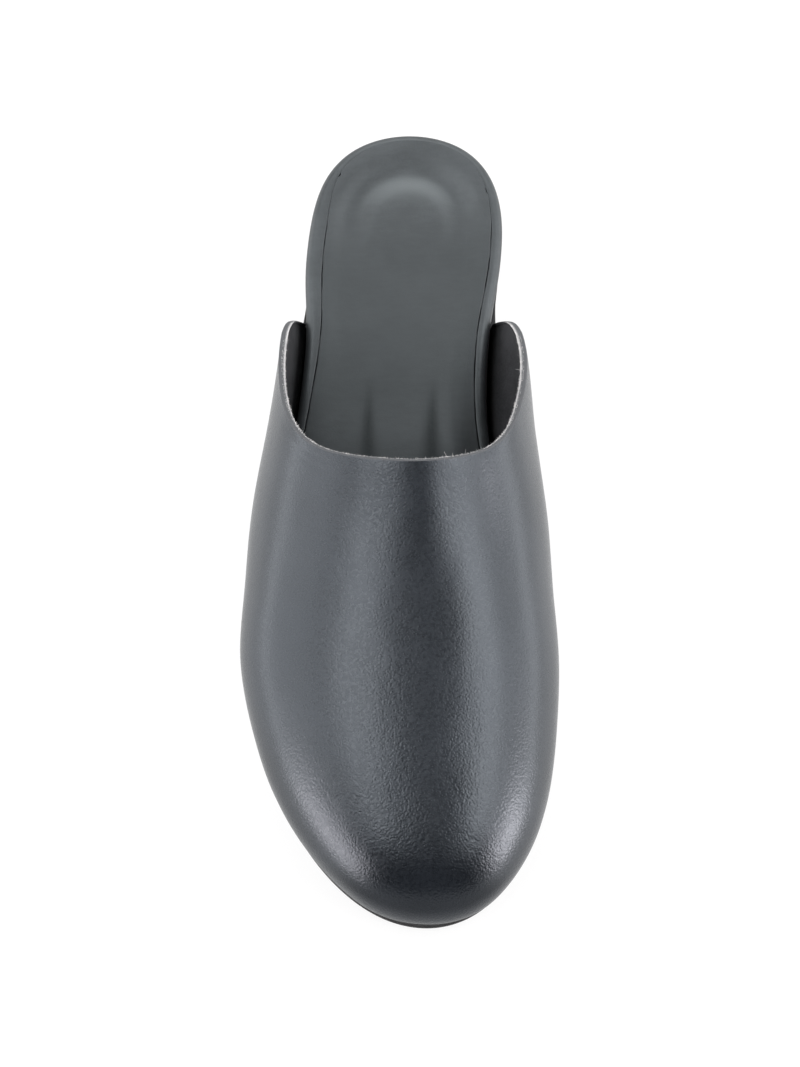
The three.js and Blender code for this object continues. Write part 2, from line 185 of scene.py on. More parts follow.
# outward normals of a sheet, shared where points coincide
def blendNormals(rows):
    sums = {}
    for near, far in zip(rows, rows[1:]):
        for c in range(len(near) - 1):
            for a, b, d in ((near[c], far[c], far[c + 1]), (near[c], far[c + 1], near[c + 1])):
                normal = (b - a).cross(d - a)
                for p in (a, b, d):
                    key = keyOf(p)
                    sums[key] = sums.get(key, Vector()) + normal
    return [[sums[keyOf(p)].normalized() for p in row] for row in rows]


# points and faces of one piece, in millimetres until it is made
class Skin:
    def __init__(self):
        self.points, self.faces, self.finishes, self.marks, self.found = [], [], [], [], {}
        self.markOf = None

    def point(self, p, mark=0.0):
        key = keyOf(p)
        if key not in self.found:
            self.found[key] = len(self.points)
            self.points.append(p)
            self.marks.append(self.markOf(p.x, p.y) if self.markOf else mark)
        return self.found[key]

    def face(self, corners, finish=0):
        unique = []
        for corner in corners:
            if corner not in unique:
                unique.append(corner)
        if len(unique) > 2:
            self.faces.append(unique)
            self.finishes.append(finish)

    def sheet(self, rows, flipped=False, finish=0, marks=None):
        index = [
            [self.point(p, marks[r][c] if marks else 0.0) for c, p in enumerate(row)]
            for r, row in enumerate(rows)
        ]
        for near, far in zip(index, index[1:]):
            for c in range(len(near) - 1):
                loop = [near[c], far[c], far[c + 1], near[c + 1]]
                self.face(loop[::-1] if flipped else loop, finish)

    def make(self, name, finishes, markName=None):
        mesh = bpy.data.meshes.new(name)
        mesh.from_pydata([(p + lastToFrame) * mm for p in self.points], [], self.faces)
        for finish in finishes:
            mesh.materials.append(finish)
        mesh.polygons.foreach_set("material_index", self.finishes)
        mesh.polygons.foreach_set("use_smooth", [True] * len(mesh.polygons))
        if markName:
            layer = mesh.attributes.new(markName, "FLOAT", "POINT")
            layer.data.foreach_set("value", self.marks)
        mesh.validate()
        mesh.update()
        piece = bpy.data.objects.new(name, mesh)
        bpy.context.collection.objects.link(piece)
        return piece


def evenTurn(step, steps):
    return (1 - math.cos(math.pi * step / steps)) / 2


# pairs of outline points, inner side first, each with its direction out
def outlinePairs(steps, start=0.0):
    rows = [footprintRow(mix(start, 1, evenTurn(i, steps))) for i in range(steps + 1)]
    inner = [Vector((middle + half, y)) for y, half, middle in rows]
    outer = [Vector((middle - half, y)) for y, half, middle in rows]
    pairs = []
    for i in range(steps + 1):
        ahead = outer[-2] if i == steps else inner[i + 1]
        behind = (inner[0] if start > 0 else outer[1]) if i == 0 else inner[i - 1]
        outerAhead = inner[-2] if i == steps else outer[i + 1]
        outerBehind = (outer[0] if start > 0 else inner[1]) if i == 0 else outer[i - 1]
        a, b = (ahead - behind).normalized(), (outerAhead - outerBehind).normalized()
        pairs.append((inner[i], Vector((a.y, -a.x)), outer[i], Vector((-b.y, b.x))))
    return pairs


# by gives the distance outwards, one number or one for each side
def shifted(pairs, by):
    moved = []
    for inner, innerOut, outer, outerOut in pairs:
        far = by(inner.y)
        innerBy, outerBy = far if isinstance(far, tuple) else (far, far)
        moved.append((inner + innerOut * innerBy, innerOut, outer + outerOut * outerBy, outerOut))
    return moved


def rowsAcross(pairs, height, steps):
    rows = []
    for inner, _, outer, _ in pairs:
        row = []
        for k in range(steps + 1):
            spot = inner.lerp(outer, k / steps)
            row.append(Vector((spot.x, spot.y, height(spot.x, spot.y))))
        rows.append(row)
    return rows


def edgeOf(rows):
    return (
        [row[0] for row in rows] + rows[-1][1:-1]
        + [row[-1] for row in rows][::-1] + rows[0][1:-1][::-1]
    )


# a closed plate: bottom sheet, rings up its side, top sheet
def plate(levels, markOf=None):
    skin = Skin()
    skin.markOf = markOf
    skin.sheet(levels[0], flipped=True)
    for low, high in zip(levels, levels[1:]):
        a = [skin.point(p) for p in edgeOf(low)]
        b = [skin.point(p) for p in edgeOf(high)]
        for i in range(len(a)):
            n = (i + 1) % len(a)
            skin.face([a[i], a[n], b[n], b[i]])
    skin.sheet(levels[-1])
    return skin


# finishes

def newFinish(name):
    finish = bpy.data.materials.new(name)
    finish.use_nodes = True
    tree = finish.node_tree
    tree.nodes.clear()
    output = tree.nodes.new("ShaderNodeOutputMaterial")
    shader = tree.nodes.new("ShaderNodeBsdfPrincipled")
    tree.links.new(shader.outputs[0], output.inputs[0])
    return finish, tree, shader


def addNode(tree, kind, **settings):
    node = tree.nodes.new(kind)
    for key, value in settings.items():
        if hasattr(node, key):
            setattr(node, key, value)
        else:
            node.inputs[key].default_value = value
    return node


def placeOn(tree, stretch=(1, 1, 1)):
    spot = addNode(tree, "ShaderNodeTexCoord")
    mapping = addNode(tree, "ShaderNodeMapping")
    mapping.inputs["Scale"].default_value = stretch
    tree.links.new(spot.outputs["Object"], mapping.inputs["Vector"])
    return mapping.outputs["Vector"]


def noiseOn(tree, where, size, detail, rough=0.55):
    node = addNode(tree, "ShaderNodeTexNoise", Scale=1 / (size * mm), Detail=detail, Roughness=rough)
    tree.links.new(where, node.inputs["Vector"])
    return node.outputs["Fac"]


def cellsOn(tree, where, size, feature="DISTANCE_TO_EDGE"):
    node = addNode(tree, "ShaderNodeTexVoronoi", feature=feature, Scale=1 / (size * mm))
    tree.links.new(where, node.inputs["Vector"])
    return node.outputs["Distance"]


def rangeOf(tree, value, low, high, toLow, toHigh, smooth=False):
    node = addNode(tree, "ShaderNodeMapRange")
    node.interpolation_type = "SMOOTHSTEP" if smooth else "LINEAR"
    for key, number in (("From Min", low), ("From Max", high), ("To Min", toLow), ("To Max", toHigh)):
        node.inputs[key].default_value = number
    tree.links.new(value, node.inputs["Value"])
    return node.outputs["Result"]


def mathOf(tree, operation, a, b):
    node = addNode(tree, "ShaderNodeMath", operation=operation)
    for socket, value in zip(node.inputs, (a, b)):
        if isinstance(value, (int, float)):
            socket.default_value = value
        else:
            tree.links.new(value, socket)
    return node.outputs["Value"]


# the sum of some values, each times its weight
def weighed(tree, *parts):
    first, *others = [mathOf(tree, "MULTIPLY", value, weight) for value, weight in parts]
    for other in others:
        first = mathOf(tree, "ADD", first, other)
    return first


def mixColours(tree, share, first, second):
    node = addNode(tree, "ShaderNodeMix", data_type="RGBA")
    for socket, value in ((node.inputs[6], first), (node.inputs[7], second)):
        if isinstance(value, tuple):
            socket.default_value = (*value, 1)
        else:
            tree.links.new(value, socket)
    tree.links.new(share, node.inputs[0])
    return node.outputs[2]


def bumpOn(tree, height, distance, strength, below=None):
    node = addNode(tree, "ShaderNodeBump")
    node.inputs["Distance"].default_value = distance * mm
    if isinstance(strength, (int, float)):
        node.inputs["Strength"].default_value = strength
    else:
        tree.links.new(strength, node.inputs["Strength"])
    tree.links.new(height, node.inputs["Height"])
    if below is not None:
        tree.links.new(below, node.inputs["Normal"])
    return node.outputs["Normal"]


def attributeOf(tree, name):
    return addNode(tree, "ShaderNodeAttribute", attribute_name=name).outputs["Fac"]


# where most values of a noise lie
noiseMost = (0.3, 0.7)

# sizes and depths in millimetres, but grainY, dullY and dullZ are metres in the frame
upperLook = {
    "dark": (0.0042, 0.0052, 0.0068), "light": (0.0075, 0.009, 0.0115), "sheenTint": (0.85, 0.915, 1),
    "cloud": 26, "fine": 1.1, "band": (0.35, 0.65),
    "roughness": (0.2, 0.31), "cloudRoughness": 0.06, "gloss": 0.55, "toeGloss": 0.22,
    "grain": 0.6, "pebble": (0.1, 0.75), "grainDepth": 0.055, "vampShare": 0.48,
    "pores": 0.3, "poreDepth": 0.01, "dimple": 11, "dimpleDepth": 0.16,
    "grainY": (-0.115, -0.03), "dullY": (-0.1245, -0.114), "dullZ": (0.0205, 0.026),
}


def grainLeather():
    finish, tree, shader = newFinish("upperGrain")
    where = placeOn(tree)
    look = upperLook
    cloud = noiseOn(tree, where, look["cloud"], 4)
    fine = noiseOn(tree, where, look["fine"], 5, 0.65)
    cells = cellsOn(tree, where, look["grain"], "SMOOTH_F1")
    split = addNode(tree, "ShaderNodeSeparateXYZ")
    tree.links.new(where, split.inputs[0])
    toeShare = rangeOf(tree, split.outputs["Y"], *look["grainY"], 1, 0, True)  # the grain opens over the toe
    tone = rangeOf(tree, weighed(tree, (cloud, 0.7), (fine, 0.3)), *look["band"], 0, 1, True)
    tree.links.new(mixColours(tree, tone, look["dark"], look["light"]), shader.inputs["Base Color"])
    rough = rangeOf(tree, fine, *noiseMost, *look["roughness"])
    rough = mathOf(tree, "ADD", rough, mathOf(tree, "MULTIPLY", cloud, look["cloudRoughness"]))
    tree.links.new(rough, shader.inputs["Roughness"])
    pebble = rangeOf(tree, cells, *look["pebble"], 1, 0, True)
    lift = mathOf(tree, "MULTIPLY", pebble, rangeOf(tree, fine, *noiseMost, 0.7, 1))
    strength = rangeOf(tree, toeShare, 0, 1, look["vampShare"], 1)
    normal = bumpOn(tree, lift, look["grainDepth"], strength)
    normal = bumpOn(tree, noiseOn(tree, where, look["pores"], 2), look["poreDepth"], 0.6, normal)
    normal = bumpOn(tree, noiseOn(tree, where, look["dimple"], 2), look["dimpleDepth"], 0.5, normal)
    tree.links.new(normal, shader.inputs["Normal"])
    shader.inputs["Specular Tint"].default_value = (*look["sheenTint"], 1)
    # the front of the toe is worn duller, above the line where the leather turns under
    front = rangeOf(tree, split.outputs["Y"], *look["dullY"], 1, 0, True)
    above = rangeOf(tree, split.outputs["Z"], *look["dullZ"], 0, 1, True)
    gloss = rangeOf(tree, mathOf(tree, "MULTIPLY", front, above), 0, 1, look["gloss"], look["toeGloss"])
    tree.links.new(gloss, shader.inputs["Specular IOR Level"])
    return finish


edgeLook = {
    "dark": (0.042, 0.044, 0.048), "light": (0.5, 0.49, 0.49), "lightFrom": (0.64, 1.02),
    "fibre": 0.35, "fibreDepth": 0.12, "roughness": 0.72,
}


def cutLeather():
    finish, tree, shader = newFinish("upperRawEdge")
    where = placeOn(tree)
    fuzz = noiseOn(tree, where, edgeLook["fibre"], 6, 0.7)
    depth = attributeOf(tree, "cutDepth")  # 0 on the grain side, 1 on the flesh side
    tone = rangeOf(tree, weighed(tree, (depth, 0.7), (fuzz, 0.5)), *edgeLook["lightFrom"], 0, 1, True)
    tree.links.new(mixColours(tree, tone, edgeLook["dark"], edgeLook["light"]), shader.inputs["Base Color"])
    shader.inputs["Roughness"].default_value = edgeLook["roughness"]
    tree.links.new(bumpOn(tree, fuzz, edgeLook["fibreDepth"], 0.9), shader.inputs["Normal"])
    return finish


fibreLook = {
    "dark": (0.3, 0.3, 0.305), "light": (0.72, 0.7, 0.69), "patch": 3, "band": (0.35, 0.65), "roughness": 0.8,
}


def fibreFinish():
    finish, tree, shader = newFinish("looseFibre")
    patch = noiseOn(tree, placeOn(tree), fibreLook["patch"], 2)
    tone = rangeOf(tree, patch, *fibreLook["band"], 0, 1)
    tree.links.new(mixColours(tree, tone, fibreLook["dark"], fibreLook["light"]), shader.inputs["Base Color"])
    shader.inputs["Roughness"].default_value = fibreLook["roughness"]
    return finish


fleshLook = {
    "dark": (0.0098, 0.0102, 0.0118), "light": (0.027, 0.0275, 0.0305), "nap": 0.5, "patch": 9,
    "band": (0.35, 0.65), "roughness": 0.95, "gloss": 0.25, "sheen": 0.03, "napDepth": 0.1,
}


def fleshLeather():
    finish, tree, shader = newFinish("upperFleshSide")
    where = placeOn(tree)
    nap = noiseOn(tree, where, fleshLook["nap"], 6, 0.7)
    patch = noiseOn(tree, where, fleshLook["patch"], 3)
    tone = rangeOf(tree, weighed(tree, (nap, 0.6), (patch, 0.4)), *fleshLook["band"], 0, 1, True)
    tree.links.new(mixColours(tree, tone, fleshLook["dark"], fleshLook["light"]), shader.inputs["Base Color"])
    shader.inputs["Roughness"].default_value = fleshLook["roughness"]
    shader.inputs["Specular IOR Level"].default_value = fleshLook["gloss"]
    shader.inputs["Sheen Weight"].default_value = fleshLook["sheen"]
    tree.links.new(bumpOn(tree, nap, fleshLook["napDepth"], 0.8), shader.inputs["Normal"])
    return finish


bedLook = {
    "dark": (0.016, 0.0178, 0.019), "light": (0.0245, 0.027, 0.029),
    # the first colour on this line is the sock's painted shade, the second its painted highlight
    "paintedShadeColour": (0.004, 0.0052, 0.0056), "paintedHighlight": (0.05, 0.056, 0.058),
    "tint": (0.88, 0.96, 1), "band": (0.38, 0.62), "cloud": 18, "fine": 0.7, "across": 1.5,
    "roughness": (0.4, 0.5), "shadeRoughness": 0.3, "gloss": 0.5,
    "grain": 0.9, "seam": 0.25, "grainDepth": 0.014, "fineDepth": 0.02, "cloudDepth": 0.2,
}


def bedLeather(name, lift=1.0, withPaintedLight=False):
    finish, tree, shader = newFinish(name)
    where = placeOn(tree)
    cloud = noiseOn(tree, where, bedLook["cloud"], 4, 0.6)
    fine = noiseOn(tree, where, bedLook["fine"], 5, 0.6)
    across = noiseOn(tree, placeOn(tree, (0.3, 1, 1)), bedLook["across"], 4)  # fine lines across the shoe
    tone = weighed(tree, (cloud, 0.5), (fine, 0.25), (across, 0.25))
    tone = rangeOf(tree, tone, *bedLook["band"], 0, 1, True)
    dark, light = (tuple(v * lift for v in bedLook[key]) for key in ("dark", "light"))
    colour = mixColours(tree, tone, dark, light)
    roughness = rangeOf(tree, fine, *noiseMost, *bedLook["roughness"])
    if withPaintedLight:
        # the shade attribute paints shade on the sock and makes it rougher there; below zero it paints a
        # highlight
        shade = rangeOf(tree, attributeOf(tree, "shade"), 0, 1, 0, 1)
        paintedHighlight = rangeOf(tree, attributeOf(tree, "shade"), -1, 0, 1, 0)
        colour = mixColours(tree, shade, colour, bedLook["paintedShadeColour"])
        colour = mixColours(tree, paintedHighlight, colour, bedLook["paintedHighlight"])
        roughnessInShade = mathOf(tree, "MULTIPLY", shade, bedLook["shadeRoughness"])
        roughness = mathOf(tree, "ADD", roughness, roughnessInShade)
    tree.links.new(colour, shader.inputs["Base Color"])
    tree.links.new(roughness, shader.inputs["Roughness"])
    cells = rangeOf(tree, cellsOn(tree, where, bedLook["grain"]), 0, bedLook["seam"], 0, 1, True)
    normal = bumpOn(tree, cells, bedLook["grainDepth"], 0.4)
    normal = bumpOn(tree, across, bedLook["fineDepth"], 0.5, normal)
    normal = bumpOn(tree, fine, bedLook["fineDepth"], 0.5, normal)
    tree.links.new(bumpOn(tree, cloud, bedLook["cloudDepth"], 0.3, normal), shader.inputs["Normal"])
    shader.inputs["Specular IOR Level"].default_value = bedLook["gloss"]
    shader.inputs["Specular Tint"].default_value = (*bedLook["tint"], 1)
    return finish


soleLook = {
    "dark": (0.011, 0.0112, 0.0118), "light": (0.021, 0.0215, 0.0225),
    "speck": 0.8, "scuff": 7, "band": (0.38, 0.64), "speckDepth": 0.05,
    "roughness": (0.5, 0.72), "gloss": 0.14,
}


def soleRubber(name):
    finish, tree, shader = newFinish(name)
    where = placeOn(tree)
    speck = noiseOn(tree, where, soleLook["speck"], 5, 0.65)
    scuff = noiseOn(tree, placeOn(tree, (1, 1, 3)), soleLook["scuff"], 4, 0.6)
    tone = rangeOf(tree, weighed(tree, (speck, 0.5), (scuff, 0.5)), *soleLook["band"], 0, 1, True)
    tree.links.new(mixColours(tree, tone, soleLook["dark"], soleLook["light"]), shader.inputs["Base Color"])
    tree.links.new(rangeOf(tree, scuff, *noiseMost, *soleLook["roughness"]), shader.inputs["Roughness"])
    tree.links.new(bumpOn(tree, speck, soleLook["speckDepth"], 0.5), shader.inputs["Normal"])
    shader.inputs["Specular IOR Level"].default_value = soleLook["gloss"]
    return finish


finishes = {
    "grain": grainLeather(), "cut": cutLeather(), "flesh": fleshLeather(), "fibre": fibreFinish(),
    "sock": bedLeather("sockLeather", 1.04, True), "wrap": bedLeather("wrapLeather"),
    "sole": soleRubber("outsoleRubber"), "heel": soleRubber("heelRubber"),
}
print("finishes made")

# upper

upper = {
    "rows": 84, "rimRows": 14, "rimDepth": 11, "skirtSteps": 9, "archSteps": 100,
    "waviness": 0.26, "waveLength": (24, 34), "ripple": (9, 13), "rippleShare": 0.25, "calmRim": 2.5,
    "crestLift": 0.6, "crestWidth": 9, "crestShift": 1.2, "crestFrom": (92, 128),
    "tuck": 1.6, "tuckPower": 0.9, "searchStart": 4,
    "edgePaleness": 0.35, "edgeFade": (8, 1), "raggedness": 0.1, "ragPitch": 1.7, "ragLayer": 0.6,
}

# pull lines that lie along the topline on the outer side: from the edge, slant, width, turn, spread, depth
# a line's distance from the edge holds at creaseTurn, a share of the way round the vamp
creaseTurn = 0.74
creaseLines = ((3.4, 3, 0.55, 0.75, 0.07, 0.12), (5.6, -9, 0.7, 0.72, 0.05, 0.084))

# the raw cut: how far back from the edge and how far into the wall each line of it lies
cutLines = (
    (0.55, 0), (0.2, 0.06), (0.05, 0.22), (0, 0.5),
    (-0.06, 1), (-0.03, 1.5), (0.06, 1.95), (0.3, last["wall"] - 0.05),
)


def sectionAt(y):
    share = y / last["length"]
    half = max(0.0, shape["half"](share)) * widthAt(share)
    middle = shape["sway"](share) * last["ballWidth"]
    floor = featherLine(y)
    return {
        "sides": (middle + half, middle - half),
        "ridge": shape["ridge"](share) * last["ballWidth"],
        "floor": floor,
        "bulge": floor + shape["bulge"](share) * last["instep"],
        "crest": floor + shape["crest"](share) * last["instep"],
        "power": 2 / shape["fullness"](share),
    }


def vaultPoint(turn, y):
    s = sectionAt(y)
    reach = math.cos(turn)
    side = s["sides"][0] if reach >= 0 else s["sides"][1]
    x = s["ridge"] + (side - s["ridge"]) * abs(reach) ** s["power"]
    z = s["bulge"] + (s["crest"] - s["bulge"]) * max(0.0, math.sin(turn)) ** s["power"]
    return Vector((x, y, z))


def featherPoint(side, y):
    share = mix(0, (wingY - printStart) / (printEnd - printStart), y / wingY)
    sign = 1 if side == 0 else -1

    def edge(at):
        rowY, half, middle = footprintRow(max(0.0, at))
        return Vector((middle + sign * half, rowY))

    run = (edge(share + 0.004) - edge(share - 0.004)).normalized()
    out = Vector((0, -1)) if share < 1e-6 else Vector((sign * run.y, -sign * run.x))
    foot = edge(share)
    s = sectionAt(y)
    rise = last["skirtFullness"] * (s["bulge"] - s["floor"])
    lean = (Vector((s["sides"][side], y)) - foot).dot(out) - last["gap"] - last["wall"]
    level = last["wall"] * min(1.5, math.hypot(lean, rise) / rise)
    return foot + out * (last["gap"] + level)


def skirtPoint(side, up, y):
    s = sectionAt(y)
    foot = featherPoint(side, y)
    out = 1 - (1 - up) ** 2
    climb = 2 * up * (1 - up) * last["skirtFullness"] + up * up
    z = mix(featherLine(foot.y), s["bulge"], climb)
    return Vector((mix(foot.x, s["sides"][side], out), mix(foot.y, y, out), z))


def upperColumns():
    steps, arch = upper["skirtSteps"], upper["archSteps"]
    columns = [(lambda y, k=k: skirtPoint(0, k / steps, y)) for k in range(steps)]
    columns += [(lambda y, k=k: vaultPoint(math.pi * k / arch, y)) for k in range(arch + 1)]
    columns += [(lambda y, k=k: skirtPoint(1, k / steps, y)) for k in range(steps - 1, -1, -1)]
    return columns


def toplineOn(column):
    near, far = throatY - upper["searchStart"], wingY
    for _ in range(36):
        y = (near + far) / 2
        p = column(y)
        line = mix(throatY, wingY, toplineBack((p.z - featherLine(p.y)) / last["instep"]))
        near, far = (y, far) if y < line else (near, y)
    return (near + far) / 2


# hand-lasted leather is never quite even
def hideWave(p):
    (across, along), (quickAcross, quickAlong) = upper["waveLength"], upper["ripple"]
    slow = noise.noise(Vector((p.x / across, p.y / along, p.z / across)))
    quick = noise.noise(Vector((p.x / quickAcross + 7, p.y / quickAlong, p.z / quickAcross)))
    return upper["waviness"] * (slow + upper["rippleShare"] * quick)


def upperOuter():
    columns = upperColumns()
    ends = [toplineOn(column) for column in columns]
    rim, rows, depths = upper["rimDepth"], [], []
    for r in range(upper["rows"] + 1):
        share = 1 - math.cos(math.pi * r / (2 * upper["rows"]))
        rows.append([column((end - rim) * share) for column, end in zip(columns, ends)])
        depths.append([rim + (end - rim) * (1 - share) for end in ends])
    for r in range(1, upper["rimRows"] + 1):
        inset = rim * (1 - r / upper["rimRows"])
        rows.append([column(end - inset) for column, end in zip(columns, ends)])
        depths.append([inset] * len(columns))
    return rows, depths


def creases(c, inset, count):
    turn = (c - upper["skirtSteps"]) / (count - 2 * upper["skirtSteps"] - 1)  # 0 inner side, 1 outer side
    return -sum(
        depth * hump(inset, back + slant * (turn - creaseTurn), width) * hump(turn, middle, spread)
        for back, slant, width, middle, spread, depth in creaseLines
    )


# the crest of the vamp is drawn up a little narrower towards the throat
def crestDraw(p):
    middle = shape["ridge"](clamp(p.y / last["length"])) * last["ballWidth"] + upper["crestShift"]
    return upper["crestLift"] * hump(p.x, middle, upper["crestWidth"]) * ease(*upper["crestFrom"], p.y)


# the cut is pale along the topline and darker at the wings' ends
def paleness(y):
    before, behind = upper["edgeFade"]
    return mix(1, upper["edgePaleness"], ease(wingY - before, wingY - behind, y))


def makeUpper():
    outer, depths = upperOuter()
    count = len(outer[0])
    normals = blendNormals(outer)
    wall = last["wall"]
    inner = []
    for row, normalRow in zip(outer, normals):
        line = []
        for c, (p, n) in enumerate(zip(row, normalRow)):
            if 0 < c < count - 1:
                line.append(p - n * wall)
            else:
                level = math.hypot(n.x, n.y)
                line.append(p + Vector((n.x, n.y, 0)) * (-wall / (level * level)))
        inner.append(line)
    for r, row in enumerate(outer):
        for c in range(1, count - 1):
            calm = clamp(min(c, count - 1 - c) / upper["skirtSteps"]) * clamp(depths[r][c] / upper["calmRim"])
            move = hideWave(row[c]) * calm + creases(c, depths[r][c], count) + crestDraw(row[c])
            row[c] = row[c] + normals[r][c] * move
        # the lasted edge turns in towards the sole
        for c in range(count):
            fromFoot = min(c, count - 1 - c) / upper["skirtSteps"]
            flat = Vector((normals[r][c].x, normals[r][c].y, 0)).normalized()
            row[c] = row[c] - flat * upper["tuck"] * clamp(1 - fromFoot) ** upper["tuckPower"]
    lip, marks = [], []
    for k, (back, into) in enumerate(cutLines):
        line = []
        for c in range(count):
            run = (outer[-1][c] - outer[-2][c]).normalized()
            inwards = (inner[-1][c] - outer[-1][c]).normalized()
            rim = outer[-1][c]
            spot = Vector((rim.x * upper["ragPitch"], rim.y * upper["ragPitch"], k * upper["ragLayer"]))
            ragged = upper["raggedness"] * noise.noise(spot) if into > 0.3 else 0
            edge = 1 if 0 < c < count - 1 else 0
            line.append(outer[-1][c] + (run * (ragged - back) + inwards * into) * edge)
        lip.append(line)
        marks.append([clamp(into / wall) * paleness(p.y) for p in line])
    outer[-1], inner[-1] = lip[0], [p + (q - p).normalized() * 0.5 for p, q in zip(inner[-1], inner[-2])]
    lip.append(inner[-1])
    marks.append([paleness(p.y) for p in lip[-1]])
    skin = Skin()
    skin.sheet(outer)
    skin.sheet(lip, finish=1, marks=marks)
    skin.sheet(inner, flipped=True, finish=2)
    for c, flipped in ((0, False), (count - 1, True)):
        foot = [[row[c] for row in outer] + [lip[0][c]], [row[c] for row in inner] + [inner[-1][c]]]
        skin.sheet(foot, flipped, 2)
    return skin, lip


upperSkin, rawEdge = makeUpper()
low = Vector([min(p[k] for p in upperSkin.points) for k in range(3)])
high = Vector([max(p[k] for p in upperSkin.points) for k in range(3)])
upperBox = [Vector(corner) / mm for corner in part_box("upper")]
lastToFrame = (upperBox[0] + upperBox[1]) / 2 - (low + high) / 2
lastToFrame.z = 0
upperFinishes = [finishes[name] for name in ("grain", "cut", "flesh")]
upperPiece = upperSkin.make("upperLeather", upperFinishes, "cutDepth")
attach(upperPiece, "root")
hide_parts("upper")
print("upper made, last to frame", [round(v, 3) for v in lastToFrame])


fibre = {
    "count": 3200, "seed": 41, "length": (0.12, 0.42), "longShare": 0.02, "long": 2.8,
    "curl": 0.8, "thickness": (0.03, 0.055), "ends": 10,
    "lines": (4, 5, 6, 6, 7, 7, 8),  # the lines of the cut they grow from, most near the flesh side
    "spine": ((-0.15, 1), (0.35, 0.9), (0.7, 0.7), (1, 0.25)),  # how far along, how thick
    "corners": (0, 2.094, 4.189),
}


# loose fibres of the cut, rooted on its flesh side
def makeFibres():
    draw = random.Random(fibre["seed"])
    skin = Skin()
    count = len(rawEdge[0])
    for _ in range(fibre["count"]):
        c = draw.uniform(fibre["ends"], count - 2 - fibre["ends"])
        i, t = int(c), c - int(c)
        line = draw.choice(fibre["lines"])
        root = rawEdge[line][i].lerp(rawEdge[line][i + 1], t)
        along = (rawEdge[line][i + 1] - rawEdge[line][i]).normalized()
        into = (rawEdge[7][i] - rawEdge[1][i]).normalized()
        out = along.cross(into).normalized()
        if out.dot(rawEdge[3][i] - rawEdge[8][i]) < 0:
            out = -out
        lean = out * draw.uniform(0.2, 1) + along * draw.uniform(-0.9, 0.9) + into * draw.uniform(-0.2, 0.9)
        length = draw.uniform(*fibre["length"]) * (fibre["long"] if draw.random() < fibre["longShare"] else 1)
        lean.normalize()
        curl = Vector((draw.uniform(-1, 1), draw.uniform(-1, 1), draw.uniform(-1, 1))) * fibre["curl"]
        thick = draw.uniform(*fibre["thickness"])
        spine = [root + lean * (length * s) + curl * (length * s * s) for s, _ in fibre["spine"]]
        side = lean.cross(curl + Vector((0.01, 0.02, 0.03))).normalized()
        other = lean.cross(side).normalized()
        index = []
        for p, (_, share) in zip(spine, fibre["spine"]):
            ring = [p + (side * math.cos(a) + other * math.sin(a)) * thick * share for a in fibre["corners"]]
            index.append([skin.point(spot) for spot in ring])
        for a, b in zip(index, index[1:]):
            for k in range(3):
                skin.face([a[k], a[(k + 1) % 3], b[(k + 1) % 3], b[k]])
        skin.face(index[0][::-1])
        skin.face(index[-1])
    return skin.make("edgeFibres", [finishes["fibre"]])


fibres = makeFibres()
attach(fibres, "root")
print("raw edge made")

# footbed and sock

bed = {
    "steps": 150, "across": 44, "forefootRim": 5.5, "heelRim": 13.5, "rimStart": 0.7, "rimFull": 0.84,
    "roll": 2.6, "sock": 1.4, "proud": 0.2, "stripOuter": 2.8, "stripWaist": 0.3, "stripInner": 0.9,
    "stripBack": 0.3, "stripTip": (0.14, 0.02), "stripHeel": (0.86, 1), "stripWidens": (0.55, 0.86),
    "cupLength": 31, "dish": 0.8, "archLift": 2.4, "padLift": 2,
    "cupShown": 1.5, "cupStart": (0.55, 0.84), "dishFoot": 0.4, "cupFoot": 0.64, "footMoves": (0.6, 0.8),
    "cushion": 1, "cushionTop": 0.36, "cushionFront": (208, 236),
    "archFront": (0.46, 0.62), "archBack": (0.82, 0.66),
    "padPlace": 0.43, "padLength": 0.075, "padWidth": 0.45,
    "rimClimb": (0.35, 0.8), "chamfer": 0.7, "sideSwell": 0.25, "swellFrom": (0.6, 0.8),
    "recessEdge": 0.22, "recessDraft": 0.05, "softBack": 0.2, "softFrom": (0.84, 0.97),
}

# two soft furrows that run out from under the throat, places as shares of the footprint
furrow = {
    "depth": 0.3, "inner": 12.9, "outer": -7.6, "width": (1.4, 3.1), "widens": (0.67, 0.55),
    "front": (0.4, 0.5), "back": (0.69, 0.6),
}

# the knife line round the sock, widest along the sides
knifeLine = {
    "side": 0.24, "least": 0.4, "leastFrom": (-0.25, 0.15), "pitch": 0.13,
    "back": 0.02, "backFrom": (0.8, 0.96),
    "wander": 0.12, "wanderPitch": 0.21, "nick": 1.3, "nickPitch": 0.62, "nickFrom": 0.3,
}

# painted shade and a painted highlight on the sock, places in millimetres from the toe's tip or as shares of
# heelReach
sockPaintedLight = {
    "furrow": 0.85, "front": 0.5, "frontFrom": (246, 212), "throat": 0.4, "throatFrom": (178, 158),
    # painted highlight along the rear edge of the heel cushion
    "paintedHighlight": 0.8, "highlightEdge": (0.68, 0.57), "highlightMiddle": (-0.05, 0.5), "highlightFrom": (231, 248),
}

# the sock's cut edge, from its foot to its top: how far in and how far down
sockRound = ((0, 0.5), (0.02, 0.24), (0.1, 0.08), (0.24, 0.02), (0.5, 0))
sockSeat = bed["sock"] + last["gap"] - bed["proud"]


def rimTop(y):
    climb = ease(*bed["rimClimb"], y / last["length"])
    return featherLine(y) + mix(bed["forefootRim"], bed["heelRim"], climb)


def swelling(y):
    return last["rimFlare"] * ease(bed["rimStart"], bed["rimFull"], y / last["length"])


def bareStrip(y):
    place = y / last["length"]
    ends = max(ease(*bed["stripTip"], place), ease(*bed["stripHeel"], place))
    outer = mix(bed["stripWaist"], bed["stripOuter"], ease(*bed["stripWidens"], place))
    return mix(bed["stripInner"], bed["stripBack"], ends), mix(outer, bed["stripBack"], ends)


def printShare(y):
    return clamp((y - printStart) / (printEnd - printStart))


